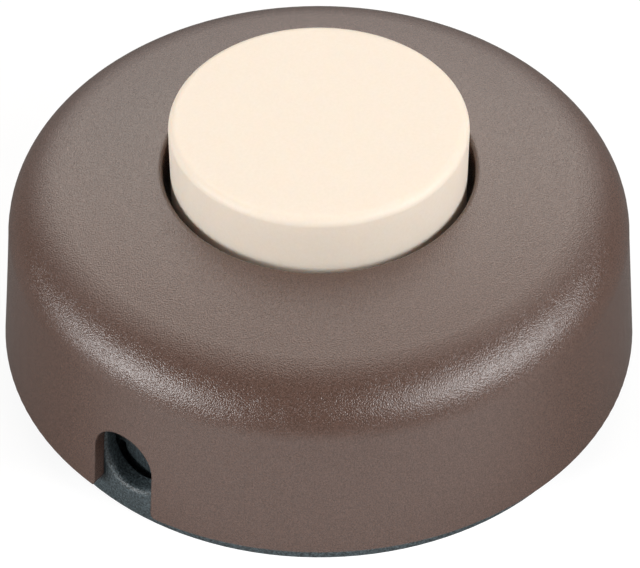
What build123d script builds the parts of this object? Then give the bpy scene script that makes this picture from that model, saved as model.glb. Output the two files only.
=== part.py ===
from build123d import *
import math
import os

# An inline foot switch: a round floor-standing housing of 65 mm with one large push button.
# Millimetres and degrees. Z is up, the floor is z = 0, and the cord runs along X.

# Levels from the floor up
FOOT_PROUD = 0.6          # how far the rubber feet stand out of the base
PLATE = 2.2               # thickness of the base plate
RIM_Z = 3.2               # underside of the cover's rim, round the foot of the base
SIDE_Z = 16.8             # where the drafted side wall turns into the shoulder
SHOULDER_Z = 23.0         # height that the shoulder's ellipse reaches
CROWN_Z = 24.4            # top of the cover, at the edge of the button hole
BUTTON_Z = 30.1           # top of the button at rest

# Cover
COVER_R = 32.5            # rim radius
DRAFT = 1.35              # how much the side wall leans in up to SIDE_Z
SHOULDER_R = 7.5          # radial size of the shoulder's ellipse
SHOULDER_SWEEP = 75       # how far round the ellipse runs before the crown takes over
WALL = 1.4                # moulded wall thickness
BUTTON_GAP = 0.75         # between the button and the edge of its hole
HOLE_EDGE = 0.45          # rounding of the hole's upper edge
RIM_EDGE = 0.3            # rounding of the rim's outer edge
COLLAR_WALL = 1.5         # guide collar that hangs below the hole
COLLAR_Z = 16.0           # lower end of the collar, the stop for the button
RIB = 1.2                 # thickness of moulded ribs
RIB_ANGLES = (0, 45, 135, 180, 225, 315)
RAIL_INSET = 0.44         # rails that keep the button from turning, from the edge of the hole
RAIL_DEEP = 2.6
RAIL = 1.6
RAIL_Z = 9.8
BOSS_INSET = 7.0          # the two screw bosses, on the Y axis, from the edge of the base
BOSS_R = 3.4
BOSS_Z = 4.8              # where the boss meets the base
PILOT_R = 1.5
PILOT_DEPTH = 10.2
MERGE = 0.3               # how far a rib runs into the wall that it stands on

# Cord entries
NOTCH_R = 3.49            # arch in the cover: half width and arch radius
NOTCH_Z = 8.7             # centre of the arch
NOTCH_FLARE = 0.9         # rounding of the notch's lower corners
NOTCH_IN = 6.0            # how far in from the rim the notch is cut
SADDLE_R = 3.43           # half-round channel in the base behind the notch
SADDLE_Z = 7.7
SADDLE_Y = 4.8            # half width of the saddle wall
SADDLE_TOP = 10.2
SADDLE_WALL = 1.3
SADDLE_LIP = 0.55         # rounding of the channel's mouth

# Base
COVER_FIT = 0.1           # between the cover's inner wall and the base inside it
BASE_EDGE = 0.35          # chamfer round the underside
RING_WALL = 1.3
RING_TOP = 6.4
BARRIER_Y = 11.5          # barrier between the live and the neutral side
BARRIER_X = 11.0
BARRIER_TOP = 8.2
CENTRE_BOSS_R = 3.0
SCREW_BOSS_R = 4.4

# Fasteners: shank radius, head radius, head height
SHANK_R = 1.45
HEAD_R = 2.4
HEAD_H = 1.8
SCREW_FIT = 0.25          # clearance of the base's screw holes round the shank
TIP_ROOM = 0.5            # a blind screw hole is this much deeper than its screw
SEAT_FIT = 0.3            # clearance of the counterbores round the heads
DRIVE = 0.7               # width of the drivers' slots
HOUSING_SCREW = 11.0      # length under the head
CLAMP_SCREW = 5.6

# Rubber feet
FOOT_R = 4.0
FOOT_DEPTH = 0.9          # how deep a foot sits in the base
FOOT_FIT = 0.1
FOOT_EDGE = 0.3
FOOT_INSET = 14.0         # from the edge of the base, along X and along Y

# Cord clamps
CLAMP_INSET = 3.0         # outer face, from the edge of the base
CLAMP_LONG = 3.6          # along the cord
CLAMP_HALF = 7.6          # half length across the cord
CLAMP_BELLY_R = 2.9       # round belly that presses on the cord
CLAMP_BELLY_Z = 6.4
CLAMP_BAR = 2.5
CLAMP_EDGE = 0.5
CLAMP_SCREW_Y = 5.6
PILLAR = 3.4
RIDGE = 0.4               # gripping ridges on the floor below the belly
RIDGE_IN = 0.5            # a ridge ends this far inside the channel
RIDGE_APART = 1.0         # each ridge from the middle of the clamp

# Terminals
TERMINAL_INSET = 17.0     # from the edge of the base, along the cord
TERMINAL_Y = 16.0
BLOCK_LONG = 8.0
BLOCK_WIDE = 7.0
BLOCK_TALL = 5.8
BLOCK_EDGE = 0.4
WIRE_R = 1.7
WIRE_UP = 2.5             # wire hole above the block's underside
TERMINAL_HEAD_R = 2.0
TERMINAL_HEAD_H = 1.4
TERMINAL_SCREW = 4.2
GUIDE = 1.0               # walls that hold a block in place
GUIDE_TALL = 3.6
GUIDE_LONG = 5.0
BLOCK_FIT = 0.15
STRIP = 0.6               # contact strip thickness
STRIP_WIDE = 4.0
STRIP_END = 7.0           # how near a strip comes to the axis
STRIP_LAP = 1.5           # how far its tongue runs in under the block
PAD_UP = 0.4              # pads that carry the strips

# Switch mechanism
RUN = 0.3                 # running gap between pieces that move apart
AXLE_R = 1.0
BORE_FIT = 0.06
AXLE_FOOT = 1.2           # level of the axle's lower end, in its blind hole
AXLE_HEAD_R = 2.2
AXLE_HEAD_H = 1.0
CROSS_R = 10.0            # contact cross: arm length from the axis
CROSS_HUB_R = 3.8
CROSS_WIDE = 3.2
SQUARE = 4.0              # square spigot that turns the cross
SQUARE_FIT = 0.05
ROTOR_R = 8.4
ROTOR_DISC = 1.9
ROTOR_HUB_R = 2.6
POCKET_IN = 2.95          # pocket for the contact spring
POCKET_OUT = 4.9
POCKET_DEEP = 1.3
RAMP_IN = 4.8
RAMP_OUT = 8.2
RAMP_COUNT = 8
RAMP_SPAN = 40.0          # angle that one ramp covers
RAMP_STEPS = 4
STEP_ANGLE = 30.0         # how far the rotor turns in one stroke
TRAVEL = 4.0              # stroke of the button
HUB_OVER = 0.4            # the hub stands above the ramps
PAWL_SPAN = 8.0
PAWL_START = 31.0
PAWL_COUNT = 4
SIDE_RUN = 0.15           # plunger inside the ramps' width, each side

# Button
BUTTON_R = 14.71
BUTTON_WALL = 1.8
BUTTON_EDGE = 0.9
FLANGE_OVER = 1.44        # the flange reaches this far past the edge of the hole
FLANGE = 1.5
KEY_FIT = 0.3
SOCKET_DEEP = 4.0
SOCKET_WALL = 1.6
SOCKET_FIT = 0.05

# Springs
SEAT_R = 4.5
SEAT = 0.8
SEAT_SPIGOT_R = 3.2
SEAT_SPIGOT = 1.2
COIL_R = 3.9
WIRE = 0.8
COILS = 6
LIGHT_COIL_R = 3.9
LIGHT_WIRE = 0.4
LIGHT_COILS = 1.5

# Levels and sizes that follow
BASE_Z = FOOT_PROUD
FLOOR_Z = BASE_Z + PLATE
STRIP_Z = FLOOR_Z + PAD_UP
BLOCK_Z = STRIP_Z + STRIP
CROSS_Z = BLOCK_Z + RUN
DISC_Z = CROSS_Z + STRIP
RAMP_Z = DISC_Z + ROTOR_DISC
RAMP_RISE = TRAVEL / STEP_ANGLE
RAMP_TOP = RAMP_Z + RAMP_SPAN * RAMP_RISE
HUB_TOP = RAMP_TOP + HUB_OVER
AXLE_HEAD_Z = HUB_TOP + RUN
SEAT_Z = AXLE_HEAD_Z + AXLE_HEAD_H
SPRING_Z = SEAT_Z + SEAT
BUTTON_ROOF = BUTTON_Z - BUTTON_WALL
FLANGE_TOP = COLLAR_Z - RUN
BUTTON_FOOT = FLANGE_TOP - FLANGE
PLUNGER_Z = RAMP_TOP + TRAVEL + RUN
PLUNGER_IN = RAMP_IN + SIDE_RUN
PLUNGER_OUT = RAMP_OUT - SIDE_RUN
CLAMP_TOP = CLAMP_BELLY_Z + CLAMP_BAR
BASE_R = COVER_R - WALL - COVER_FIT
HOLE_R = BUTTON_R + BUTTON_GAP
FLANGE_R = HOLE_R + FLANGE_OVER
RAIL_IN = HOLE_R + RAIL_INSET
RAIL_OUT = RAIL_IN + RAIL_DEEP
BOSS_Y = BASE_R - BOSS_INSET
FOOT_XY = BASE_R - FOOT_INSET
TERMINAL_X = BASE_R - TERMINAL_INSET
CLAMP_FACE = BASE_R - CLAMP_INSET
CLAMP_X = CLAMP_FACE - CLAMP_LONG / 2
HIGH = 2 * BUTTON_Z       # longer than anything, for cutting through


def rod(radius, low, high, x=0.0, y=0.0):
    """An upright cylinder between two levels."""
    return Pos(x, y, low) * Cylinder(radius, high - low, align=(Align.CENTER, Align.CENTER, Align.MIN))


def tube(inner, outer, low, high):
    return rod(outer, low, high) - rod(inner, low - 1, high + 1)


def block(size_x, size_y, low, high, x=0.0, y=0.0):
    """An upright box between two levels, centred on x and y."""
    return Pos(x, y, low) * Box(size_x, size_y, high - low, align=(Align.CENTER, Align.CENTER, Align.MIN))


def spoke(inner, outer, wide, low, high, angle):
    """A radial box between two radii."""
    return Rot(0, 0, angle) * block(outer - inner, wide, low, high, x=(inner + outer) / 2)


def turned(points):
    """A solid turned about Z from a closed outline of radius and height."""
    return revolve(Plane.XZ * make_face(Polyline(*points, close=True)), Axis.Z)


def helix_wire(coil_r, wire_d, low, high, coils):
    """A spring of round wire whose ends are ground flat at two levels."""
    path = Pos(0, 0, low) * Helix((high - low) / coils, high - low, coil_r)
    section = Plane(path @ 0, z_dir=path % 0) * Circle(wire_d / 2)
    wire = sweep(section, path=path, is_frenet=True)
    return wire & rod(coil_r + wire_d, low, high)


def slotted_screw(x, y, seat, head_r, head_h, length, up=1):
    """A screw with its head's underside at the level seat; up is -1 for one driven from below."""
    screw = rod(head_r, 0, head_h) + rod(SHANK_R, -length, 0)
    screw -= block(2 * head_r, DRIVE, head_h / 2, head_h + 1)
    screw = chamfer(screw.edges().group_by(Axis.Z)[0], SHANK_R / 4)
    return Pos(x, y, seat) * (screw if up > 0 else Rot(180, 0, 0) * screw)


def cover_outline(inset, centre_r):
    """Half section of the cover, moved inwards by inset, closed to the axis."""
    rim_r = COVER_R - inset
    side_r = rim_r - DRAFT
    side = Line((rim_r, RIM_Z), (side_r, SIDE_Z))
    shoulder = EllipticalCenterArc((side_r - SHOULDER_R + inset, SIDE_Z), SHOULDER_R - inset,
                                   SHOULDER_Z - SIDE_Z - inset, arc_size=SHOULDER_SWEEP)
    edge = (centre_r, CROWN_Z - inset)
    crown = TangentArc(shoulder @ 1, edge, tangent=shoulder % 1)
    close = Polyline(edge, (0, CROWN_Z - inset), (0, RIM_Z), (rim_r, RIM_Z))
    return revolve(Plane.XZ * make_face([side, shoulder, crown, *close.edges()]), Axis.Z)


def inner_wall_r(z):
    """Radius of the cover's inner wall at a level."""
    return COVER_R - WALL - DRAFT * (z - RIM_Z) / (SIDE_Z - RIM_Z)


def notch_cutter():
    """The arched cord notch, with its lower corners flared."""
    low = RIM_Z - 1
    flare_z = RIM_Z + NOTCH_FLARE
    flare_y = NOTCH_R + NOTCH_FLARE
    shape = Pos(0, NOTCH_Z) * Circle(NOTCH_R)
    shape += Pos(0, (low + NOTCH_Z) / 2) * Rectangle(2 * NOTCH_R, NOTCH_Z - low)
    foot = Pos(0, (low + flare_z) / 2) * Rectangle(2 * flare_y, flare_z - low)
    for side in (-1, 1):
        foot -= Pos(side * flare_y, flare_z) * Circle(NOTCH_FLARE)
    return extrude(Plane.YZ.offset(COVER_R - NOTCH_IN) * (shape + foot), 2 * NOTCH_IN)


def cover():
    """One moulding: shell, guide collar, anti-turn rails, ribs and screw bosses."""
    outer = cover_outline(0, HOLE_R)
    hollow = cover_outline(WALL, HOLE_R)
    collar_r = HOLE_R + COLLAR_WALL
    hollow -= tube(HOLE_R, collar_r, COLLAR_Z, HIGH)
    for angle in RIB_ANGLES:
        hollow -= spoke(collar_r - MERGE, COVER_R, RIB, COLLAR_Z + RIB, HIGH, angle)
    for angle in (0, 180):
        hollow -= spoke(RAIL_IN, RAIL_OUT, RAIL, RAIL_Z, COLLAR_Z + 2 * RIB, angle)
    for side in (-1, 1):
        hollow -= rod(BOSS_R, BOSS_Z, HIGH, y=side * BOSS_Y)
        hollow -= spoke(BOSS_Y, COVER_R, RIB, RING_TOP + RIB, HIGH, side * 90)
    shell = outer - hollow - rod(HOLE_R, 0, HIGH)
    for side in (-1, 1):
        shell -= rod(PILOT_R, 0, BOSS_Z + PILOT_DEPTH, y=side * BOSS_Y)
    shell = fillet(shell.edges().filter_by(GeomType.CIRCLE).group_by(Axis.Z)[-1], HOLE_EDGE)
    rim = shell.edges().filter_by(GeomType.CIRCLE).filter_by(lambda e: abs(e.radius - COVER_R) < 0.01)
    shell = fillet(rim, RIM_EDGE)
    for angle in (0, 180):
        shell -= Rot(0, 0, angle) * notch_cutter()
    return shell


def saddle(angle):
    """The wall behind a cord notch, with its half-round channel and rounded mouth."""
    low = BASE_Z + PLATE / 2
    wall = turned([(inner_wall_r(SADDLE_TOP) - COVER_FIT - SADDLE_WALL, low),
                   (BASE_R, low), (BASE_R, RIM_Z),
                   (inner_wall_r(SADDLE_TOP) - COVER_FIT, SADDLE_TOP),
                   (inner_wall_r(SADDLE_TOP) - COVER_FIT - SADDLE_WALL, SADDLE_TOP)])
    wall &= spoke(COVER_R / 2, 2 * COVER_R, 2 * SADDLE_Y, 0, HIGH, 0)
    channel = Pos(0, SADDLE_Z) * Circle(SADDLE_R)
    channel += Pos(0, SADDLE_Z + COVER_R / 2) * Rectangle(2 * SADDLE_R, COVER_R)
    wall -= extrude(Plane.YZ * channel, COVER_R + 1)
    outer_face = wall.faces().filter_by(GeomType.CONE)[0]
    mouth = [e for e in outer_face.edges() if abs(e.center().Y) < SADDLE_R + 0.1 and RIM_Z < e.center().Z < SADDLE_TOP]
    return Rot(0, 0, angle) * fillet(mouth, SADDLE_LIP)


def terminal_places():
    return [(x, y) for y in (TERMINAL_Y, -TERMINAL_Y) for x in (-TERMINAL_X, TERMINAL_X)]


def foot_places():
    return [(x, y) for y in (FOOT_XY, -FOOT_XY) for x in (-FOOT_XY, FOOT_XY)]


def clamp_places():
    return [(x, y) for x in (-CLAMP_X, CLAMP_X) for y in (-CLAMP_SCREW_Y, CLAMP_SCREW_Y)]


def base_plate():
    """One moulding: plate, locating ring, saddles, pillars, pads, guides and barrier."""
    base = turned([(0, BASE_Z), (BASE_R - BASE_EDGE, BASE_Z), (BASE_R, BASE_Z + BASE_EDGE), (BASE_R, RIM_Z),
                   (inner_wall_r(RING_TOP) - COVER_FIT, RING_TOP),
                   (inner_wall_r(RING_TOP) - COVER_FIT - RING_WALL, RING_TOP),
                   (inner_wall_r(RING_TOP) - COVER_FIT - RING_WALL, FLOOR_Z), (0, FLOOR_Z)])
    for angle in (0, 180):
        notch_gap = spoke(COVER_R / 2, 2 * COVER_R, 2 * SADDLE_Y - RIB, FLOOR_Z, HIGH, 0)
        base -= Rot(0, 0, angle) * notch_gap
        base += saddle(angle)
    base += rod(CENTRE_BOSS_R, BASE_Z + PLATE / 2, BLOCK_Z)
    base += block(2 * BARRIER_X, RIB, BASE_Z + PLATE / 2, BARRIER_TOP, y=-BARRIER_Y)
    for x, y in terminal_places():
        base += block(BLOCK_LONG, BLOCK_WIDE, BASE_Z + PLATE / 2, STRIP_Z, x, y)
        for side in (-1, 1):
            guide_x = x + side * (BLOCK_LONG / 2 + BLOCK_FIT + GUIDE / 2)
            base += block(GUIDE, GUIDE_LONG, BASE_Z + PLATE / 2, FLOOR_Z + GUIDE_TALL, guide_x, y)
    for x, y in clamp_places():
        base += block(PILLAR, PILLAR, BASE_Z + PLATE / 2, CLAMP_BELLY_Z, x, y)
        base -= rod(SHANK_R + BORE_FIT, CLAMP_TOP - CLAMP_SCREW - TIP_ROOM, HIGH, x, y)
    for side in (-1, 1):
        for offset in (-1, 1):
            base += block(2 * RIDGE, 2 * (SADDLE_R - RIDGE_IN), BASE_Z + PLATE / 2, FLOOR_Z + RIDGE,
                          x=side * CLAMP_X + offset * RIDGE_APART)
        base += rod(SCREW_BOSS_R, BASE_Z + PLATE / 2, BOSS_Z, y=side * BOSS_Y)
        base -= rod(SHANK_R + SCREW_FIT, 0, HIGH, y=side * BOSS_Y)
        base -= rod(HEAD_R + SEAT_FIT, 0, FLOOR_Z, y=side * BOSS_Y)
    base -= block(2 * TERMINAL_X, STRIP_WIDE + 2 * BLOCK_FIT, STRIP_Z, BLOCK_Z + BLOCK_FIT, y=-TERMINAL_Y)
    for x, y in foot_places():
        base -= rod(FOOT_R + FOOT_FIT, 0, BASE_Z + FOOT_DEPTH, x, y)
    return base - rod(AXLE_R, AXLE_FOOT, HIGH)


def rubber_foot(x, y):
    foot = rod(FOOT_R, 0, BASE_Z + FOOT_DEPTH, x, y)
    return fillet(foot.edges().group_by(Axis.Z)[0], FOOT_EDGE)


def cord_clamp(side):
    """A bar on two screws with a round belly that presses the cord down."""
    bar = Pos(0, CLAMP_BELLY_Z + CLAMP_BAR / 2) * RectangleRounded(2 * CLAMP_HALF, CLAMP_BAR, CLAMP_EDGE)
    bar += Pos(0, CLAMP_BELLY_Z + CLAMP_BAR / 2) * Rectangle(2 * CLAMP_BELLY_R, CLAMP_BAR)
    bar += Pos(0, CLAMP_BELLY_Z) * Circle(CLAMP_BELLY_R)
    bar -= Pos(0, CLAMP_TOP + CLAMP_BELLY_R) * Rectangle(2 * CLAMP_HALF, 2 * CLAMP_BELLY_R)
    clamp = extrude(Plane.YZ.offset(CLAMP_FACE - CLAMP_LONG) * bar, CLAMP_LONG)
    for y in (-CLAMP_SCREW_Y, CLAMP_SCREW_Y):
        clamp -= rod(SHANK_R + SCREW_FIT, 0, HIGH, CLAMP_X, y)
    return Rot(0, 0, 0 if side > 0 else 180) * clamp


def terminal_block(x, y):
    """A brass block with a wire hole along the cord and a tapped hole from above."""
    body = block(BLOCK_LONG, BLOCK_WIDE, BLOCK_Z, BLOCK_Z + BLOCK_TALL, x, y)
    body = fillet(body.edges().filter_by(Axis.Z), BLOCK_EDGE)
    body -= Pos(x, y, BLOCK_Z + WIRE_UP) * Rot(0, 90, 0) * Cylinder(WIRE_R, 2 * BLOCK_LONG)
    return body - rod(SHANK_R, BLOCK_Z + WIRE_UP, HIGH, x, y)


def live_contact(side):
    """A strip from under a terminal block to the sweep of the contact cross."""
    pad = block(BLOCK_LONG, BLOCK_WIDE, STRIP_Z, BLOCK_Z, side * TERMINAL_X, TERMINAL_Y)
    reach = (TERMINAL_Y - BLOCK_WIDE / 2 + STRIP_LAP) / math.cos(math.radians(45))
    tongue = spoke(STRIP_END, reach, STRIP_WIDE, STRIP_Z, BLOCK_Z, 45)
    tongue = fillet(tongue.edges().filter_by(Axis.Z).sort_by(lambda e: e.center().length)[:2], STRIP)
    return pad + (tongue if side > 0 else mirror(tongue, Plane.YZ))


def neutral_link():
    """A strap that carries the neutral straight through."""
    link = block(2 * TERMINAL_X, STRIP_WIDE, STRIP_Z, BLOCK_Z, y=-TERMINAL_Y)
    for x in (-TERMINAL_X, TERMINAL_X):
        link += block(BLOCK_LONG, BLOCK_WIDE, STRIP_Z, BLOCK_Z, x, -TERMINAL_Y)
    return link


def axle_pin():
    """A headed steel pin that stands in the base and carries the rotor and the spring seat."""
    pin = rod(AXLE_R, AXLE_FOOT, SPRING_Z)
    return pin + rod(AXLE_HEAD_R, AXLE_HEAD_Z, SEAT_Z)


def ramp_section(angle, inner, outer, low, top):
    """Radial rectangle of a ramp at one angle, as a wire."""
    plane = Plane((0, 0, 0), x_dir=(math.cos(math.radians(angle)), math.sin(math.radians(angle)), 0),
                  z_dir=(math.sin(math.radians(angle)), -math.cos(math.radians(angle)), 0))
    return (plane * Pos((inner + outer) / 2, (low + top) / 2) * Rectangle(outer - inner, top - low)).wire()


def ramp(start, span, level, inner, outer):
    """A ruled helical ramp that rises by RAMP_RISE for each degree."""
    sections = []
    for step in range(RAMP_STEPS + 1):
        angle = span * step / RAMP_STEPS
        sections.append(ramp_section(start + angle, inner, outer, level - RUN, level + RAMP_RISE * angle))
    return Solid.make_loft(sections, True)


def pawl(start):
    """A finger of the plunger, cut to the slope of the ramps that it presses on."""
    sections = []
    for angle in (0, PAWL_SPAN):
        tip = RAMP_Z + RUN + RAMP_RISE * (PAWL_START + angle)
        sections.append(ramp_section(start + PAWL_START + angle, PLUNGER_IN, PLUNGER_OUT, tip, PLUNGER_Z + RUN))
    return Solid.make_loft(sections, True)


def index_rotor():
    """The indexing rotor: eight ramps in a ring, a hub on the axle and a square spigot below."""
    rotor = rod(ROTOR_R, DISC_Z, RAMP_Z) + rod(ROTOR_HUB_R, DISC_Z, HUB_TOP)
    rotor -= tube(POCKET_IN, POCKET_OUT, DISC_Z - 1, DISC_Z + POCKET_DEEP)
    rotor += block(SQUARE, SQUARE, CROSS_Z, DISC_Z + STRIP)
    pitch = 360 / RAMP_COUNT
    for number in range(RAMP_COUNT):
        rotor += ramp(number * pitch, RAMP_SPAN, RAMP_Z, RAMP_IN, RAMP_OUT)
    return rotor - rod(AXLE_R + BORE_FIT, 0, HIGH)


def contact_cross():
    """The moving contact: four arms on a hub with a square hole, pressed from sheet."""
    cross = rod(CROSS_HUB_R, CROSS_Z, DISC_Z)
    for angle in (0, 90):
        arm = block(2 * CROSS_R, CROSS_WIDE, CROSS_Z, DISC_Z)
        cross += Rot(0, 0, angle) * fillet(arm.edges().filter_by(Axis.Z), CROSS_WIDE / 3)
    return cross - block(SQUARE + 2 * SQUARE_FIT, SQUARE + 2 * SQUARE_FIT, 0, HIGH)


def contact_spring():
    """A light coil in the rotor's pocket that keeps the cross pressed down."""
    return helix_wire(LIGHT_COIL_R, LIGHT_WIRE, DISC_Z, DISC_Z + POCKET_DEEP, LIGHT_COILS)


def spring_seat():
    """A flanged washer on the axle's head that carries the return spring."""
    seat = rod(SEAT_R, SEAT_Z, SPRING_Z) + rod(SEAT_SPIGOT_R, SEAT_Z, SPRING_Z + SEAT_SPIGOT)
    return seat - rod(AXLE_R + BORE_FIT, 0, HIGH)


def return_spring():
    return helix_wire(COIL_R, WIRE, SPRING_Z, BUTTON_ROOF, COILS)


def plunger():
    """A sleeve in the button's socket with four pawls that drive the rotor."""
    sleeve = tube(PLUNGER_IN, PLUNGER_OUT, PLUNGER_Z, BUTTON_ROOF)
    for number in range(PAWL_COUNT):
        sleeve += pawl(number * 360 / PAWL_COUNT)
    return sleeve


def push_button():
    """A deep cup with a retaining flange, a socket for the plunger and stiffening ribs."""
    skin = rod(BUTTON_R, BUTTON_FOOT, BUTTON_Z)
    skin = fillet(skin.edges().group_by(Axis.Z)[-1], BUTTON_EDGE)
    skin += rod(FLANGE_R, BUTTON_FOOT, FLANGE_TOP)
    inside_r = BUTTON_R - BUTTON_WALL
    skin -= rod(inside_r, 0, BUTTON_ROOF)
    socket_z = BUTTON_ROOF - SOCKET_DEEP
    socket_out = PLUNGER_OUT + SOCKET_FIT + SOCKET_WALL
    skin += tube(PLUNGER_OUT + SOCKET_FIT, socket_out, socket_z, BUTTON_ROOF)
    for angle in (45, 135, 225, 315):
        skin += spoke(socket_out - MERGE, inside_r + MERGE, RIB, socket_z, BUTTON_ROOF, angle)
    for angle in (0, 180):
        skin -= spoke(RAIL_IN - KEY_FIT, COVER_R, RAIL + 2 * KEY_FIT, 0, FLANGE_TOP + RUN / 2, angle)
    return skin


def terminal_screws():
    seat = BLOCK_Z + BLOCK_TALL
    return [slotted_screw(x, y, seat, TERMINAL_HEAD_R, TERMINAL_HEAD_H, TERMINAL_SCREW)
            for x, y in terminal_places()]


def clamp_screws():
    return [slotted_screw(x, y, CLAMP_TOP, HEAD_R, HEAD_H, CLAMP_SCREW) for x, y in clamp_places()]


def housing_screws():
    return [slotted_screw(0, side * BOSS_Y, FLOOR_Z, HEAD_R, HEAD_H, HOUSING_SCREW, up=-1)
            for side in (-1, 1)]


def all_nodes():
    """Every separate piece by its name."""
    nodes = {
        "base_plate": base_plate(),
        "cover": cover(),
        "push_button": push_button(),
        "plunger": plunger(),
        "return_spring": return_spring(),
        "spring_seat": spring_seat(),
        "axle_pin": axle_pin(),
        "index_rotor": index_rotor(),
        "contact_cross": contact_cross(),
        "contact_spring": contact_spring(),
        "live_contact_in": live_contact(-1),
        "live_contact_out": live_contact(1),
        "neutral_link": neutral_link(),
        "cord_clamp_in": cord_clamp(-1),
        "cord_clamp_out": cord_clamp(1),
        "terminal_screws": Compound(children=terminal_screws()),
        "clamp_screws": Compound(children=clamp_screws()),
        "housing_screws": Compound(children=housing_screws()),
    }
    names = ("terminal_live_in", "terminal_live_out", "terminal_neutral_in", "terminal_neutral_out")
    for name, (x, y) in zip(names, terminal_places()):
        nodes[name] = terminal_block(x, y)
    for number, (x, y) in enumerate(foot_places(), start=1):
        nodes[f"rubber_foot_{number}"] = rubber_foot(x, y)
    return nodes


os.makedirs("parts", exist_ok=True)
for node_name, shape in all_nodes().items():
    export_step(shape, f"parts/{node_name}.step")
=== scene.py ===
import math
import bpy
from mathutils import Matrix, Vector


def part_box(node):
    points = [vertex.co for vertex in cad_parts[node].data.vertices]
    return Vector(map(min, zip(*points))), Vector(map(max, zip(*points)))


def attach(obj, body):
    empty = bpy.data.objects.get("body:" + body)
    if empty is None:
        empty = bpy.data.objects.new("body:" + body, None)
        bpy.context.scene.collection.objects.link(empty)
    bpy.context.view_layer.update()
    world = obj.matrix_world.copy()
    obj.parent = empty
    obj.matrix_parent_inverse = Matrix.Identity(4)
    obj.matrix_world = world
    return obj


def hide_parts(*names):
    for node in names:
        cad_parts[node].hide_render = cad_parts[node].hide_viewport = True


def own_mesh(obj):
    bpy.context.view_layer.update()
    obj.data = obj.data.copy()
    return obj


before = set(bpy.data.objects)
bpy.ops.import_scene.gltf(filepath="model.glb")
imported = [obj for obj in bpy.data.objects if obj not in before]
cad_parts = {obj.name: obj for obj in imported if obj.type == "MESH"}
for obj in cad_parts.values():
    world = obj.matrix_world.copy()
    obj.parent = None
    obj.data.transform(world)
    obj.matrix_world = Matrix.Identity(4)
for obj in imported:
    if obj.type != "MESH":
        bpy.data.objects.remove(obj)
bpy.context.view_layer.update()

MM = 0.001

# The view: one long lens from 44 degrees above the floor, with the incoming cord entry at the
# left front. The target is on the switch's own axis, and the lens is shifted by about a pixel.
CAMERA_TURN = math.radians(216.3)
CAMERA_RISE = math.radians(43.9)
CAMERA_AWAY = 288.7 * MM
CAMERA_LENS = 157.9
CAMERA_SENSOR = 36
CAMERA_CLIP = 10 * MM
TARGET_HEIGHT = 7.77 * MM
FRAME_WIDE = 640
SIDESTEP = 1.11 / FRAME_WIDE


def heading(turn, rise):
    """A unit vector out from the switch, turned about the upright axis and raised."""
    return Vector((math.cos(turn) * math.cos(rise), math.sin(turn) * math.cos(rise),
                   math.sin(rise)))


toward = heading(CAMERA_TURN, CAMERA_RISE)
camera = bpy.data.objects.new("camera", bpy.data.cameras.new("camera"))
camera.data.lens = CAMERA_LENS
camera.data.sensor_width = CAMERA_SENSOR
camera.data.shift_x = SIDESTEP
camera.data.clip_start = CAMERA_CLIP
camera.location = Vector((0, 0, TARGET_HEIGHT)) + CAMERA_AWAY * toward
camera.rotation_euler = (-toward).to_track_quat("-Z", "Y").to_euler()
bpy.context.scene.collection.objects.link(camera)
bpy.context.scene.camera = camera
bpy.context.scene.view_settings.view_transform = "Standard"


# The floor: a pale matt sweep of paper, which takes the soft contact shadow of the housing and is
# nearly white to the camera. A painted pool of light makes it whiter in front of the switch, and
# painted shade makes it greyer beside and beyond that, so that the side walls don't mirror white.
def linear(colour):
    """An sRGB hex value as a linear colour with alpha."""
    channels = [int(colour[i:i + 2], 16) / 255 for i in (1, 3, 5)]
    return [c / 12.92 if c < 0.04045 else ((c + 0.055) / 1.055) ** 2.4 for c in channels] + [1]


def finish(name):
    """A new material with an empty node tree."""
    material = bpy.data.materials.new(name)
    material.use_nodes = True
    material.node_tree.nodes.clear()
    return material, material.node_tree


def add(tree, kind, inputs=None, **settings):
    """One node with its settings; an input is a value or the socket that feeds it."""
    made = tree.nodes.new(kind)
    for name, value in settings.items():
        setattr(made, name, value)
    for name, value in (inputs or {}).items():
        if isinstance(value, bpy.types.NodeSocket):
            tree.links.new(value, made.inputs[name])
        else:
            made.inputs[name].default_value = value
    return made


def rays(tree):
    """Whether a ray comes from the camera, and whether a surface mirrors it or lets it through."""
    path = add(tree, "ShaderNodeLightPath")
    clear = add(tree, "ShaderNodeMath",
                {0: path.outputs["Is Glossy Ray"], 1: path.outputs["Is Transmission Ray"]},
                operation="MAXIMUM")
    return path.outputs["Is Camera Ray"], clear.outputs[0]


WHITE = linear("#FFFFFF")
FLOOR_HALF = 1.5
CAMERA_GLOW = 0.88
MIRRORED_GLOW = 0.07  # the share of that glow which a mirrored ray sees
LIGHT_POOL_NEAR = (16 * MM, 46 * MM)  # from the switch's axis to where the painted pool of light starts and is full
LIGHT_POOL_FAR = (60 * MM, 100 * MM)  # and to where it starts to fade and has ended
floor_mesh = bpy.data.meshes.new("paper_floor")
floor_mesh.from_pydata([(x * FLOOR_HALF, y * FLOOR_HALF, 0)
                        for x, y in ((-1, -1), (1, -1), (1, 1), (-1, 1))], [], [(0, 1, 2, 3)])
floor = bpy.data.objects.new("paper_floor", floor_mesh)
bpy.context.scene.collection.objects.link(floor)
paper_painted_light_and_shade, tree = finish("paper_painted_light_and_shade")
place = add(tree, "ShaderNodeTexCoord")
front = add(tree, "ShaderNodeVectorMath",
            {0: place.outputs["Object"], 1: heading(CAMERA_TURN, 0)}, operation="DOT_PRODUCT")
near = add(tree, "ShaderNodeMapRange",
           {"Value": front.outputs["Value"], "From Min": LIGHT_POOL_NEAR[0], "From Max": LIGHT_POOL_NEAR[1]},
           interpolation_type="SMOOTHSTEP")
far = add(tree, "ShaderNodeMapRange",
          {"Value": front.outputs["Value"], "From Min": LIGHT_POOL_FAR[1], "From Max": LIGHT_POOL_FAR[0]},
          interpolation_type="SMOOTHSTEP")
# Painted light and shade: the paper is whiter in the painted pool of light in front, and greyer
# with painted shade beside and beyond it.
painted_light_pool = add(tree, "ShaderNodeMath", {0: near.outputs[0], 1: far.outputs[0]}, operation="MULTIPLY")
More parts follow.
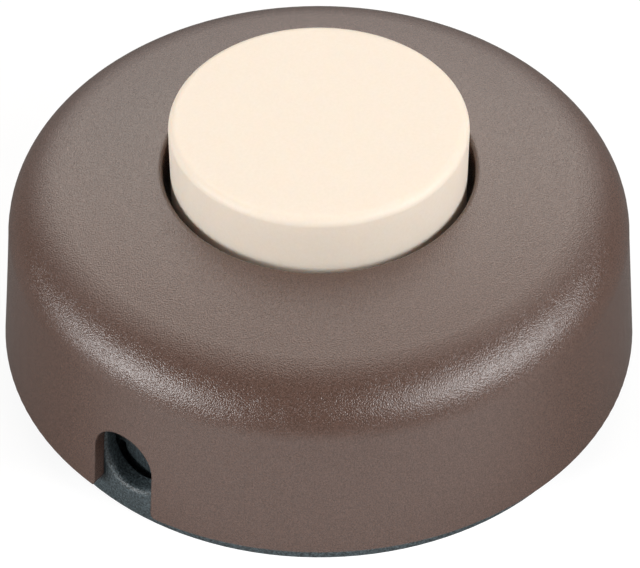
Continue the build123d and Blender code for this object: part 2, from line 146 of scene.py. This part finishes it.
tone = add(tree, "ShaderNodeMix",
           {"Factor": painted_light_pool.outputs[0], "A": linear("#686868"), "B": linear("#F0F0F0")},
           data_type="RGBA")
matt = add(tree, "ShaderNodeBsdfDiffuse", {"Color": tone.outputs[2]})
glow = add(tree, "ShaderNodeEmission", {"Color": WHITE, "Strength": CAMERA_GLOW})
both = add(tree, "ShaderNodeAddShader", {0: matt.outputs[0], 1: glow.outputs[0]})
direct, clear = rays(tree)
mirrored = add(tree, "ShaderNodeMath", {0: clear, 1: MIRRORED_GLOW}, operation="MULTIPLY")
bright = add(tree, "ShaderNodeMath", {0: direct, 1: mirrored.outputs[0]}, operation="MAXIMUM")
seen = add(tree, "ShaderNodeMixShader",
           {0: bright.outputs[0], 1: matt.outputs[0], 2: both.outputs[0]})
add(tree, "ShaderNodeOutputMaterial", {"Surface": seen.outputs[0]})
floor.data.materials.append(paper_painted_light_and_shade)

# The light: the lit patch of a white paper sweep stands behind the switch and greys its crown, with
# two banks over it. Two low soft boxes at the front corners light the side of the button and streak
# the shoulder. The room behind the camera is dim, which leaves the dark bands beside the streaks.
ROOM = 0.2  # lights the object from all round
DIM = 0.06  # what mirrored rays see of the room
SWEEP_RISE = math.radians(40)
SWEEP_EDGE = (0.5, 0.82)  # cosines of the angles from its middle where it ends and is full
LAMP_AWAY = 0.7
world = bpy.data.worlds.new("studio")
world.use_nodes = True
tree = world.node_tree
tree.nodes.clear()
aim = add(tree, "ShaderNodeTexCoord")
behind = add(tree, "ShaderNodeVectorMath",
             {0: aim.outputs["Generated"], 1: heading(CAMERA_TURN + math.pi, SWEEP_RISE)},
             operation="DOT_PRODUCT")
sweep = add(tree, "ShaderNodeMapRange",
            {"Value": behind.outputs["Value"], "From Min": SWEEP_EDGE[0],
             "From Max": SWEEP_EDGE[1], "To Min": DIM})
room = add(tree, "ShaderNodeBackground", {"Color": WHITE, "Strength": ROOM})
paper = add(tree, "ShaderNodeBackground", {"Color": WHITE, "Strength": sweep.outputs[0]})
backdrop = add(tree, "ShaderNodeBackground", {"Color": WHITE, "Strength": 1.0})
direct, clear = rays(tree)
mirrored = add(tree, "ShaderNodeMixShader", {0: clear, 1: room.outputs[0], 2: paper.outputs[0]})
seen = add(tree, "ShaderNodeMixShader",
           {0: direct, 1: mirrored.outputs[0], 2: backdrop.outputs[0]})
add(tree, "ShaderNodeOutputWorld", {"Surface": seen.outputs[0]})
bpy.context.scene.world = world


def soft_box(name, turn, rise, wide, tall, watts, colour="#FFFFFF"):
    """A rectangular lamp aimed at the switch; turn is from the camera's direction, to the right."""
    lamp = bpy.data.objects.new(name, bpy.data.lights.new(name, "AREA"))
    lamp.data.shape = "RECTANGLE"
    lamp.data.size = wide
    lamp.data.size_y = tall
    lamp.data.energy = watts
    lamp.data.color = linear(colour)[:3]
    where = heading(CAMERA_TURN + math.radians(turn), math.radians(rise))
    lamp.location = LAMP_AWAY * where
    lamp.rotation_euler = (-where).to_track_quat("-Z", "Y").to_euler()
    bpy.context.scene.collection.objects.link(lamp)


soft_box("top_bank", turn=180, rise=68, wide=0.50, tall=0.44, watts=0.85, colour="#FFF6EA")
soft_box("back_bank", turn=180, rise=38, wide=1.00, tall=0.32, watts=2.1, colour="#FFF6EA")
soft_box("left_box", turn=-63, rise=18, wide=0.66, tall=0.23, watts=4.4)
soft_box("right_box", turn=62, rise=29, wide=0.78, tall=0.27, watts=5.4)


# The base plate and the two cord clamps: moulded in anthracite glass-filled nylon, darker than the
# cover. The mould's even grain is drawn at 0.2 mm, coarser than a real one, so that it shows, and
# the skin is duller in the cloudy patches where the glass comes near it.
def dress(material, *names):
    """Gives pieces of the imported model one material."""
    for name in names:
        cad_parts[name].data.materials.clear()
        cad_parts[name].data.materials.append(material)


NYLON_GRAIN = 0.2 * MM
NYLON_DEEP = 0.08 * MM
NYLON_CLOUD = 6 * MM
anthracite_nylon, tree = finish("matt_anthracite_nylon")
place = add(tree, "ShaderNodeTexCoord")
grit = add(tree, "ShaderNodeTexNoise",
           {"Vector": place.outputs["Object"], "Scale": 1 / NYLON_GRAIN, "Detail": 1.0})
fleck = add(tree, "ShaderNodeMapRange",
            {"Value": grit.outputs["Fac"], "From Min": 0.35, "From Max": 0.7})
tone = add(tree, "ShaderNodeMix",
           {"Factor": fleck.outputs[0], "A": linear("#1F2628"), "B": linear("#525E63")},
           data_type="RGBA")
cloud = add(tree, "ShaderNodeTexNoise",
            {"Vector": place.outputs["Object"], "Scale": 1 / NYLON_CLOUD})
gloss = add(tree, "ShaderNodeMapRange",
            {"Value": cloud.outputs["Fac"], "To Min": 0.34, "To Max": 0.5})
rise = add(tree, "ShaderNodeBump", {"Height": grit.outputs["Fac"], "Distance": NYLON_DEEP})
skin = add(tree, "ShaderNodeBsdfPrincipled",
           {"Base Color": tone.outputs[2], "Roughness": gloss.outputs[0], "IOR": 1.53,
            "Normal": rise.outputs[0]})
add(tree, "ShaderNodeOutputMaterial", {"Surface": skin.outputs[0]})
dress(anthracite_nylon, "base_plate", "cord_clamp_in", "cord_clamp_out")

# The four feet: black moulded rubber discs pressed into the base. Rubber is dull and a little
# grey where it has bloomed.
RUBBER_GRIT = 0.3 * MM
RUBBER_DEEP = 0.02 * MM
moulded_rubber, tree = finish("moulded_black_rubber")
place = add(tree, "ShaderNodeTexCoord")
grit = add(tree, "ShaderNodeTexNoise",
           {"Vector": place.outputs["Object"], "Scale": 1 / RUBBER_GRIT, "Detail": 3.0})
tone = add(tree, "ShaderNodeMix",
           {"Factor": grit.outputs["Fac"], "A": linear("#161617"), "B": linear("#2C2C2D")},
           data_type="RGBA")
rise = add(tree, "ShaderNodeBump", {"Height": grit.outputs["Fac"], "Distance": RUBBER_DEEP})
skin = add(tree, "ShaderNodeBsdfPrincipled",
           {"Base Color": tone.outputs[2], "Roughness": 0.72, "IOR": 1.52,
            "Normal": rise.outputs[0]})
add(tree, "ShaderNodeOutputMaterial", {"Surface": skin.outputs[0]})
dress(moulded_rubber, "rubber_foot_1", "rubber_foot_2", "rubber_foot_3", "rubber_foot_4")

# The contact strips, the neutral strap and the contact cross: stamped from half-hard brass sheet.
# Rolling leaves fine lines along the strip, and handling leaves duller patches.
ROLL_LONG = 3.0 * MM
ROLL_FINE = 0.05 * MM
ROLL_DEEP = 0.003 * MM
BRASS_PATCH = 2.5 * MM
rolled_brass, tree = finish("rolled_brass_sheet")
place = add(tree, "ShaderNodeTexCoord")
stretch = add(tree, "ShaderNodeMapping",
              {"Vector": place.outputs["Object"],
               "Scale": (1 / ROLL_LONG, 1 / ROLL_FINE, 1 / ROLL_FINE)})
lines = add(tree, "ShaderNodeTexNoise",
            {"Vector": stretch.outputs[0], "Scale": 1.0, "Detail": 2.0})
patch = add(tree, "ShaderNodeTexNoise",
            {"Vector": place.outputs["Object"], "Scale": 1 / BRASS_PATCH})
tone = add(tree, "ShaderNodeMix",
           {"Factor": patch.outputs["Fac"], "A": linear("#B88F45"), "B": linear("#D9B768")},
           data_type="RGBA")
gloss = add(tree, "ShaderNodeMapRange",
            {"Value": patch.outputs["Fac"], "To Min": 0.22, "To Max": 0.42})
rise = add(tree, "ShaderNodeBump", {"Height": lines.outputs["Fac"], "Distance": ROLL_DEEP})
skin = add(tree, "ShaderNodeBsdfPrincipled",
           {"Base Color": tone.outputs[2], "Metallic": 1.0, "Roughness": gloss.outputs[0],
            "Normal": rise.outputs[0]})
add(tree, "ShaderNodeOutputMaterial", {"Surface": skin.outputs[0]})
dress(rolled_brass, "live_contact_in", "live_contact_out", "neutral_link", "contact_cross")

# The four terminal blocks: sawn and drilled from drawn brass bar, which is brighter than the sheet.
# The saw leaves even marks across each face. Real ones are about 0.1 mm apart, too fine to show,
# so they are drawn at 0.75 mm.
WAVES = 20 / math.tau  # that many waves of a wave texture fit in one unit, at a scale of one
SAW_PITCH = 0.754 * MM
SAW_DEEP = 0.004 * MM
drawn_brass, tree = finish("drawn_brass_bar")
place = add(tree, "ShaderNodeTexCoord")
marks = add(tree, "ShaderNodeTexWave",
            {"Vector": place.outputs["Object"], "Scale": 1 / (WAVES * SAW_PITCH),
             "Distortion": 0.6, "Detail": 2.0}, bands_direction="Z")
rise = add(tree, "ShaderNodeBump", {"Height": marks.outputs["Fac"], "Distance": SAW_DEEP})
patch = add(tree, "ShaderNodeTexNoise",
            {"Vector": place.outputs["Object"], "Scale": 1 / BRASS_PATCH})
tone = add(tree, "ShaderNodeMix",
           {"Factor": patch.outputs["Fac"], "A": linear("#C79C4C"), "B": linear("#E0BF72")},
           data_type="RGBA")
skin = add(tree, "ShaderNodeBsdfPrincipled",
           {"Base Color": tone.outputs[2], "Metallic": 1.0, "Roughness": 0.3,
            "Normal": rise.outputs[0]})
add(tree, "ShaderNodeOutputMaterial", {"Surface": skin.outputs[0]})
dress(drawn_brass, "terminal_live_in", "terminal_live_out", "terminal_neutral_in",
      "terminal_neutral_out")

# The ten screws: zinc-plated steel with slotted cheese heads. The heads are cold formed, the
# threads are rolled, and the passivated zinc is a cool grey with cloudy patches.
HEAD_R = 2.4 * MM
HEAD_HIGH = 1.8 * MM
SMALL_HEAD_R = 2.0 * MM
SMALL_HEAD_HIGH = 1.4 * MM
HEAD_EDGE = 0.25 * MM
HEAD_FACETS = 48
SLOT_WIDE = 0.7 * MM
SLOT_CUTTER = 3.0  # its length in head radii, so it runs out of both sides of the head
SLOT_SEED = 4
SHANK = 1.45 * MM
THREAD_PITCH = 0.6 * MM
THREAD_DEEP = 0.28 * MM
THREAD_STEPS = 24
THREAD_SIDES = 6
SMOOTH_UNDER = math.radians(35)
SAME_ROW = 5  # decimals of a metre, so rows of screws nearer than 0.01 mm are one row
ZINC_CLOUD = 0.8 * MM
zinc_plate, tree = finish("zinc_plated_steel")
place = add(tree, "ShaderNodeTexCoord")
cloud = add(tree, "ShaderNodeTexNoise",
            {"Vector": place.outputs["Object"], "Scale": 1 / ZINC_CLOUD, "Detail": 3.0})
tone = add(tree, "ShaderNodeMix",
           {"Factor": cloud.outputs["Fac"], "A": linear("#A9AFB5"), "B": linear("#CDD2D6")},
           data_type="RGBA")
gloss = add(tree, "ShaderNodeMapRange",
            {"Value": cloud.outputs["Fac"], "To Min": 0.24, "To Max": 0.46})
skin = add(tree, "ShaderNodeBsdfPrincipled",
           {"Base Color": tone.outputs[2], "Metallic": 1.0, "Roughness": gloss.outputs[0]})
add(tree, "ShaderNodeOutputMaterial", {"Surface": skin.outputs[0]})


def inputs_of(tree, sizes):
    """Named size inputs for a geometry tree, and the node that gives them."""
    for side in ("INPUT", "OUTPUT"):
        tree.interface.new_socket("Geometry", in_out=side, socket_type="NodeSocketGeometry")
    for name, default in sizes.items():
        socket = tree.interface.new_socket(name, in_out="INPUT", socket_type="NodeSocketFloat")
        socket.default_value = default
    return add(tree, "NodeGroupInput").outputs


def screw_tree():
    """One screw, its head's underside at zero and its head up, on each point of the mesh."""
    tree = bpy.data.node_groups.new("slotted_screw", "GeometryNodeTree")
    size = inputs_of(tree, {"Head Radius": HEAD_R, "Head Height": HEAD_HIGH, "Length": 5.6 * MM,
                            "Flip": 0.0})
    core_r = SHANK - THREAD_DEEP

    straight = add(tree, "ShaderNodeMath", {0: size["Head Height"], 1: HEAD_EDGE},
                   operation="SUBTRACT").outputs[0]
    face_r = add(tree, "ShaderNodeMath", {0: size["Head Radius"], 1: HEAD_EDGE},
                 operation="SUBTRACT").outputs[0]
    drum = add(tree, "GeometryNodeMeshCylinder",
               {"Vertices": HEAD_FACETS, "Radius": size["Head Radius"], "Depth": straight})
    middle = add(tree, "ShaderNodeMath", {0: straight, 1: 0.5}, operation="MULTIPLY").outputs[0]
    lift = add(tree, "ShaderNodeCombineXYZ", {"Z": middle})
    drum = add(tree, "GeometryNodeTransform",
               {"Geometry": drum.outputs["Mesh"], "Translation": lift.outputs[0]})
    bevel = add(tree, "GeometryNodeMeshCone",
                {"Vertices": HEAD_FACETS, "Radius Top": face_r,
                 "Radius Bottom": size["Head Radius"], "Depth": HEAD_EDGE})
    lift = add(tree, "ShaderNodeCombineXYZ", {"Z": straight})
    bevel = add(tree, "GeometryNodeTransform",
                {"Geometry": bevel.outputs["Mesh"], "Translation": lift.outputs[0]})

    sink = add(tree, "ShaderNodeMath", {0: size["Length"], 1: -0.5},
               operation="MULTIPLY").outputs[0]
    drop = add(tree, "ShaderNodeCombineXYZ", {"Z": sink})
    core = add(tree, "GeometryNodeMeshCylinder",
               {"Vertices": HEAD_FACETS, "Radius": core_r, "Depth": size["Length"]})
    core = add(tree, "GeometryNodeTransform",
               {"Geometry": core.outputs["Mesh"], "Translation": drop.outputs[0]})
    whole = add(tree, "GeometryNodeMeshBoolean", {"Mesh 2": drum.outputs[0]},
                operation="UNION", solver="EXACT")
    for part in (bevel, core):
        tree.links.new(part.outputs[0], whole.inputs["Mesh 2"])

    across = add(tree, "ShaderNodeMath", {0: size["Head Radius"], 1: SLOT_CUTTER},
                 operation="MULTIPLY").outputs[0]
    cut_box = add(tree, "ShaderNodeCombineXYZ",
                  {"X": across, "Y": SLOT_WIDE, "Z": size["Head Height"]})
    cut = add(tree, "GeometryNodeMeshCube", {"Size": cut_box.outputs[0]})
    lift = add(tree, "ShaderNodeCombineXYZ", {"Z": size["Head Height"]})
    cut = add(tree, "GeometryNodeTransform",
              {"Geometry": cut.outputs["Mesh"], "Translation": lift.outputs[0]})
    slotted = add(tree, "GeometryNodeMeshBoolean",
                  {"Mesh 1": whole.outputs[0], "Mesh 2": cut.outputs[0]},
                  operation="DIFFERENCE", solver="EXACT")

    turns = add(tree, "ShaderNodeMath", {0: size["Length"], 1: THREAD_PITCH},
                operation="DIVIDE").outputs[0]
    turns = add(tree, "ShaderNodeMath", {0: turns, 1: 1.0}, operation="SUBTRACT").outputs[0]
    height = add(tree, "ShaderNodeMath", {0: turns, 1: THREAD_PITCH},
                 operation="MULTIPLY").outputs[0]
    helix = add(tree, "GeometryNodeCurveSpiral",
                {"Resolution": THREAD_STEPS, "Rotations": turns, "Height": height,
                 "Start Radius": core_r, "End Radius": core_r})
    start = add(tree, "ShaderNodeMath", {0: size["Length"], 1: THREAD_PITCH / 2},
                operation="SUBTRACT").outputs[0]
    start = add(tree, "ShaderNodeMath", {0: start, 1: -1.0}, operation="MULTIPLY").outputs[0]
    drop = add(tree, "ShaderNodeCombineXYZ", {"Z": start})
    helix = add(tree, "GeometryNodeTransform",
                {"Geometry": helix.outputs[0], "Translation": drop.outputs[0]})
    crest = add(tree, "GeometryNodeCurvePrimitiveCircle",
                {"Resolution": THREAD_SIDES, "Radius": THREAD_DEEP})
    thread = add(tree, "GeometryNodeCurveToMesh",
                 {"Curve": helix.outputs[0], "Profile Curve": crest.outputs[0],
                  "Fill Caps": True})
    screw = add(tree, "GeometryNodeJoinGeometry", {"Geometry": slotted.outputs[0]})
    tree.links.new(thread.outputs[0], screw.inputs[0])

    # Input 3 is the highest value and output 1 the result, where the values are plain numbers.
    turn = add(tree, "FunctionNodeRandomValue", {"Seed": SLOT_SEED, 3: math.pi},
               data_type="FLOAT")
    aim = add(tree, "ShaderNodeCombineXYZ", {"X": size["Flip"], "Z": turn.outputs[1]})
    rows = add(tree, "GeometryNodeInstanceOnPoints",
               {"Points": size["Geometry"], "Instance": screw.outputs[0],
                "Rotation": aim.outputs[0]})
    real = add(tree, "GeometryNodeRealizeInstances", {"Geometry": rows.outputs[0]})
    plated = add(tree, "GeometryNodeSetMaterial",
                 {"Geometry": real.outputs[0], "Material": zinc_plate})
    add(tree, "NodeGroupOutput", {"Geometry": plated.outputs[0]})
    return tree


def grown(name, tree, sizes, points):
    """A plain mesh that a geometry tree grows on some points, with round faces shaded smooth."""
    start = bpy.data.meshes.new(name)
    start.from_pydata(points, [], [])
    piece = bpy.data.objects.new(name, start)
    bpy.context.scene.collection.objects.link(piece)
    grow = piece.modifiers.new("grow", "NODES")
    grow.node_group = tree
    for socket in tree.interface.items_tree:
        if socket.in_out == "INPUT" and socket.name in sizes:
            grow[socket.identifier] = sizes[socket.name]
    evaluated = piece.evaluated_get(bpy.context.evaluated_depsgraph_get())
    made = bpy.data.meshes.new_from_object(evaluated)
    piece.modifiers.remove(grow)
    surface = [material for material in made.materials if material][0]
    made.materials.clear()
    made.materials.append(surface)
    piece.data = made
    made.shade_smooth()
    made.set_sharp_from_angle(angle=SMOOTH_UNDER)
    return piece


def corners(node, inset, level):
    """Where the screws of a node stand: a head's radius in from the corners of the node's box."""
    low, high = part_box(node)
    rows = sorted({round(low[0] + inset, SAME_ROW), round(high[0] - inset, SAME_ROW)})
    return [(x, y, level) for x in rows for y in (low[1] + inset, high[1] - inset)]


slotted = screw_tree()
for node, head_r, head_high, upright in (
        ("terminal_screws", SMALL_HEAD_R, SMALL_HEAD_HIGH, True),
        ("clamp_screws", HEAD_R, HEAD_HIGH, True),
        ("housing_screws", HEAD_R, HEAD_HIGH, False)):
    low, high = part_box(node)
    seat = high[2] - head_high if upright else low[2] + head_high
    length = seat - low[2] if upright else high[2] - seat
    sizes = {"Head Radius": head_r, "Head Height": head_high, "Length": length,
             "Flip": 0.0 if upright else math.pi}
    screws = grown(node + "_threaded", slotted, sizes, corners(node, head_r, seat))
    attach(screws, "housing")
    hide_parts(node)

# The axle pin and the spring seat: turned from free-cutting steel and plated like the screws.
# Turning leaves fine rings, so their gloss is a little streaky. The rings are drawn 0.5 mm apart,
# coarser than a tool leaves them, so that they show.
TURNING_PITCH = 0.503 * MM
TURNING_DEEP = 0.002 * MM
turned_steel, tree = finish("turned_plated_steel")
place = add(tree, "ShaderNodeTexCoord")
rings = add(tree, "ShaderNodeTexWave",
            {"Vector": place.outputs["Object"], "Scale": 1 / (WAVES * TURNING_PITCH),
             "Distortion": 0.3}, wave_type="RINGS", rings_direction="Z")
rise = add(tree, "ShaderNodeBump", {"Height": rings.outputs["Fac"], "Distance": TURNING_DEEP})
skin = add(tree, "ShaderNodeBsdfPrincipled",
           {"Base Color": linear("#BEC2C6"), "Metallic": 1.0, "Roughness": 0.28,
            "Normal": rise.outputs[0]})
add(tree, "ShaderNodeOutputMaterial", {"Surface": skin.outputs[0]})
dress(turned_steel, "axle_pin", "spring_seat")

# The rotor and the plunger: natural white acetal, moulded. It is waxy and lets some light in, and
# the flow of the melt leaves faint cloudy streaks.
MELT_FLOW = 4.0 * MM
white_acetal, tree = finish("natural_white_acetal")
place = add(tree, "ShaderNodeTexCoord")
cloud = add(tree, "ShaderNodeTexNoise",
            {"Vector": place.outputs["Object"], "Scale": 1 / MELT_FLOW, "Distortion": 1.0})
tone = add(tree, "ShaderNodeMix",
           {"Factor": cloud.outputs["Fac"], "A": linear("#E3E2DA"), "B": linear("#F1F0EA")},
           data_type="RGBA")
skin = add(tree, "ShaderNodeBsdfPrincipled",
           {"Base Color": tone.outputs[2], "Roughness": 0.36, "IOR": 1.48,
            "Subsurface Weight": 0.3, "Subsurface Scale": 1.0 * MM})
add(tree, "ShaderNodeOutputMaterial", {"Surface": skin.outputs[0]})
dress(white_acetal, "index_rotor", "plunger")

# The two coil springs: wound from drawn steel wire, with closed end turns that are ground flat.
# The return spring is squeezed between its seat and the roof of the button at each press.
RETURN_WIRE = 0.8 * MM
RETURN_TURNS = 7.0
CONTACT_WIRE = 0.4 * MM
CONTACT_TURNS = 3.2
COIL_STEPS = 40
WIRE_SIDES = 16
END_TURN = 1.0  # closed turns at each end
GROUND = 0.25  # height of the wire's middle over the ground face, in wire diameters
spring_wire, tree = finish("drawn_spring_wire")
place = add(tree, "ShaderNodeTexCoord")
cloud = add(tree, "ShaderNodeTexNoise",
            {"Vector": place.outputs["Object"], "Scale": 1 / ZINC_CLOUD, "Detail": 2.0})
tone = add(tree, "ShaderNodeMix",
           {"Factor": cloud.outputs["Fac"], "A": linear("#7D8084"), "B": linear("#9DA1A5")},
           data_type="RGBA")
skin = add(tree, "ShaderNodeBsdfPrincipled",
           {"Base Color": tone.outputs[2], "Metallic": 1.0, "Roughness": 0.3})
add(tree, "ShaderNodeOutputMaterial", {"Surface": skin.outputs[0]})


def coil_tree():
    """A compression spring that stands on zero, closed at both ends, on each point of the mesh."""
    tree = bpy.data.node_groups.new("coil_spring", "GeometryNodeTree")
    size = inputs_of(tree, {"Coil Radius": 3.9 * MM, "Wire": RETURN_WIRE, "Height": 13.0 * MM,
                            "Turns": RETURN_TURNS})

    # A plain helix first, and then the height of each point: a wire's thickness for each closed
    # turn, and an even pitch for the open ones between them.
    helix = add(tree, "GeometryNodeCurveSpiral",
                {"Resolution": COIL_STEPS, "Rotations": size["Turns"], "Height": 1.0,
                 "Start Radius": size["Coil Radius"], "End Radius": size["Coil Radius"]})
    along = add(tree, "GeometryNodeSplineParameter")
    turn = add(tree, "ShaderNodeMath", {0: along.outputs["Factor"], 1: size["Turns"]},
               operation="MULTIPLY")
    opened = add(tree, "ShaderNodeMath", {0: size["Turns"], 1: 2 * END_TURN},
                 operation="SUBTRACT")
    first = add(tree, "ShaderNodeMath", {0: turn.outputs[0], 1: END_TURN}, operation="MINIMUM")
    past = add(tree, "ShaderNodeMath", {0: turn.outputs[0], 1: END_TURN}, operation="SUBTRACT")
    middle = add(tree, "ShaderNodeClamp",
                 {"Value": past.outputs[0], "Min": 0.0, "Max": opened.outputs[0]})
    rest = add(tree, "ShaderNodeMath", {0: past.outputs[0], 1: opened.outputs[0]},
               operation="SUBTRACT")
    last = add(tree, "ShaderNodeMath", {0: rest.outputs[0], 1: 0.0}, operation="MAXIMUM")
    ends = add(tree, "ShaderNodeMath", {0: first.outputs[0], 1: last.outputs[0]},
               operation="ADD")
    closed = add(tree, "ShaderNodeMath", {0: ends.outputs[0], 1: GROUND}, operation="ADD")
    closed = add(tree, "ShaderNodeMath", {0: closed.outputs[0], 1: size["Wire"]},
                 operation="MULTIPLY")
    taken = add(tree, "ShaderNodeMath", {0: size["Wire"], 1: 2 * (END_TURN + GROUND)},
                operation="MULTIPLY")
    free = add(tree, "ShaderNodeMath", {0: size["Height"], 1: taken.outputs[0]},
               operation="SUBTRACT")
    pitch = add(tree, "ShaderNodeMath", {0: free.outputs[0], 1: opened.outputs[0]},
                operation="DIVIDE")
    spread = add(tree, "ShaderNodeMath", {0: pitch.outputs[0], 1: middle.outputs[0]},
                 operation="MULTIPLY")
    level = add(tree, "ShaderNodeMath", {0: closed.outputs[0], 1: spread.outputs[0]},
                operation="ADD").outputs[0]
    spot = add(tree, "ShaderNodeSeparateXYZ",
               {0: add(tree, "GeometryNodeInputPosition").outputs[0]})
    place = add(tree, "ShaderNodeCombineXYZ",
                {"X": spot.outputs["X"], "Y": spot.outputs["Y"], "Z": level})
    wound = add(tree, "GeometryNodeSetPosition",
                {"Geometry": helix.outputs[0], "Position": place.outputs[0]})
    wound = add(tree, "GeometryNodeSetCurveNormal", {"Curve": wound.outputs[0]}, mode="Z_UP")

    wire_r = add(tree, "ShaderNodeMath", {0: size["Wire"], 1: 0.5},
                 operation="MULTIPLY").outputs[0]
    section = add(tree, "GeometryNodeCurvePrimitiveCircle",
                  {"Resolution": WIRE_SIDES, "Radius": wire_r})
    wire = add(tree, "GeometryNodeCurveToMesh",
               {"Curve": wound.outputs[0], "Profile Curve": section.outputs[0],
                "Fill Caps": True})
    spot = add(tree, "ShaderNodeSeparateXYZ",
               {0: add(tree, "GeometryNodeInputPosition").outputs[0]})
    ground = add(tree, "ShaderNodeClamp",
                 {"Value": spot.outputs["Z"], "Min": 0.0, "Max": size["Height"]})
    place = add(tree, "ShaderNodeCombineXYZ",
                {"X": spot.outputs["X"], "Y": spot.outputs["Y"], "Z": ground.outputs[0]})
    flat = add(tree, "GeometryNodeSetPosition",
               {"Geometry": wire.outputs[0], "Position": place.outputs[0]})
    rows = add(tree, "GeometryNodeInstanceOnPoints",
               {"Points": size["Geometry"], "Instance": flat.outputs[0]})
    real = add(tree, "GeometryNodeRealizeInstances", {"Geometry": rows.outputs[0]})
    steel = add(tree, "GeometryNodeSetMaterial",
                {"Geometry": real.outputs[0], "Material": spring_wire})
    add(tree, "NodeGroupOutput", {"Geometry": steel.outputs[0]})
    return tree


coil = coil_tree()
for node, body, wire, turns in (
        ("return_spring", "housing", RETURN_WIRE, RETURN_TURNS),
        ("contact_spring", "rotor", CONTACT_WIRE, CONTACT_TURNS)):
    low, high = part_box(node)
    sizes = {"Coil Radius": (high[0] - low[0] - wire) / 2, "Wire": wire,
             "Height": high[2] - low[2], "Turns": turns}
    spring = grown(node + "_wound", coil, sizes, [(0, 0, low[2])])
    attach(spring, body)
    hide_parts(node)
    if node == "return_spring":
        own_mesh(spring)

# The cover: one injection moulding of brown ABS from a spark-eroded mould. The grain breaks its
# gloss into fine specks. A real grain of 0.05 to 0.1 mm is too fine to show, so it is drawn at
# 0.13 mm. The sharp edges of the moulding are broken a little, as a mould leaves them.
GRAIN = 0.13 * MM
GRAIN_DEEP = 0.056 * MM
EDGE_BREAK = 0.22 * MM
brown_abs, tree = finish("spark_eroded_brown_abs")
place = add(tree, "ShaderNodeTexCoord")
grit = add(tree, "ShaderNodeTexNoise",
           {"Vector": place.outputs["Object"], "Scale": 1 / GRAIN, "Detail": 1.0,
            "Roughness": 0.4})
fleck = add(tree, "ShaderNodeMapRange",
            {"Value": grit.outputs["Fac"], "From Min": 0.28, "From Max": 0.72})
tone = add(tree, "ShaderNodeMix",
           {"Factor": fleck.outputs[0], "A": linear("#47352D"), "B": linear("#644D44")},
           data_type="RGBA")
soft_edge = add(tree, "ShaderNodeBevel", {"Radius": EDGE_BREAK}, samples=4)
rise = add(tree, "ShaderNodeBump",
           {"Height": grit.outputs["Fac"], "Distance": GRAIN_DEEP,
            "Normal": soft_edge.outputs[0]})
skin = add(tree, "ShaderNodeBsdfPrincipled",
           {"Base Color": tone.outputs[2], "Roughness": 0.18, "IOR": 1.6,
            "Normal": rise.outputs[0]})
add(tree, "ShaderNodeOutputMaterial", {"Surface": skin.outputs[0]})
dress(brown_abs, "cover")

# The push button: moulded in cream ABS, smoother than the cover, with a faint grain that is drawn
# at 0.3 mm so that it shows. Light goes a little way into the plastic, which softens the button's
# edge and warms its foot.
BUTTON_GRAIN = 0.3 * MM
BUTTON_DEEP = 0.006 * MM
cream_abs, tree = finish("satin_cream_abs")
place = add(tree, "ShaderNodeTexCoord")
grit = add(tree, "ShaderNodeTexNoise",
           {"Vector": place.outputs["Object"], "Scale": 1 / BUTTON_GRAIN, "Detail": 2.0})
tone = add(tree, "ShaderNodeMix",
           {"Factor": grit.outputs["Fac"], "A": linear("#E2D5C5"), "B": linear("#E8DCCE")},
           data_type="RGBA")
rise = add(tree, "ShaderNodeBump", {"Height": grit.outputs["Fac"], "Distance": BUTTON_DEEP})
skin = add(tree, "ShaderNodeBsdfPrincipled",
           {"Base Color": tone.outputs[2], "Roughness": 0.5, "IOR": 1.53,
            "Subsurface Weight": 0.5, "Subsurface Scale": 1.5 * MM,
            "Subsurface Radius": (1.0, 0.75, 0.55), "Normal": rise.outputs[0]})
add(tree, "ShaderNodeOutputMaterial", {"Surface": skin.outputs[0]})
dress(cream_abs, "push_button")
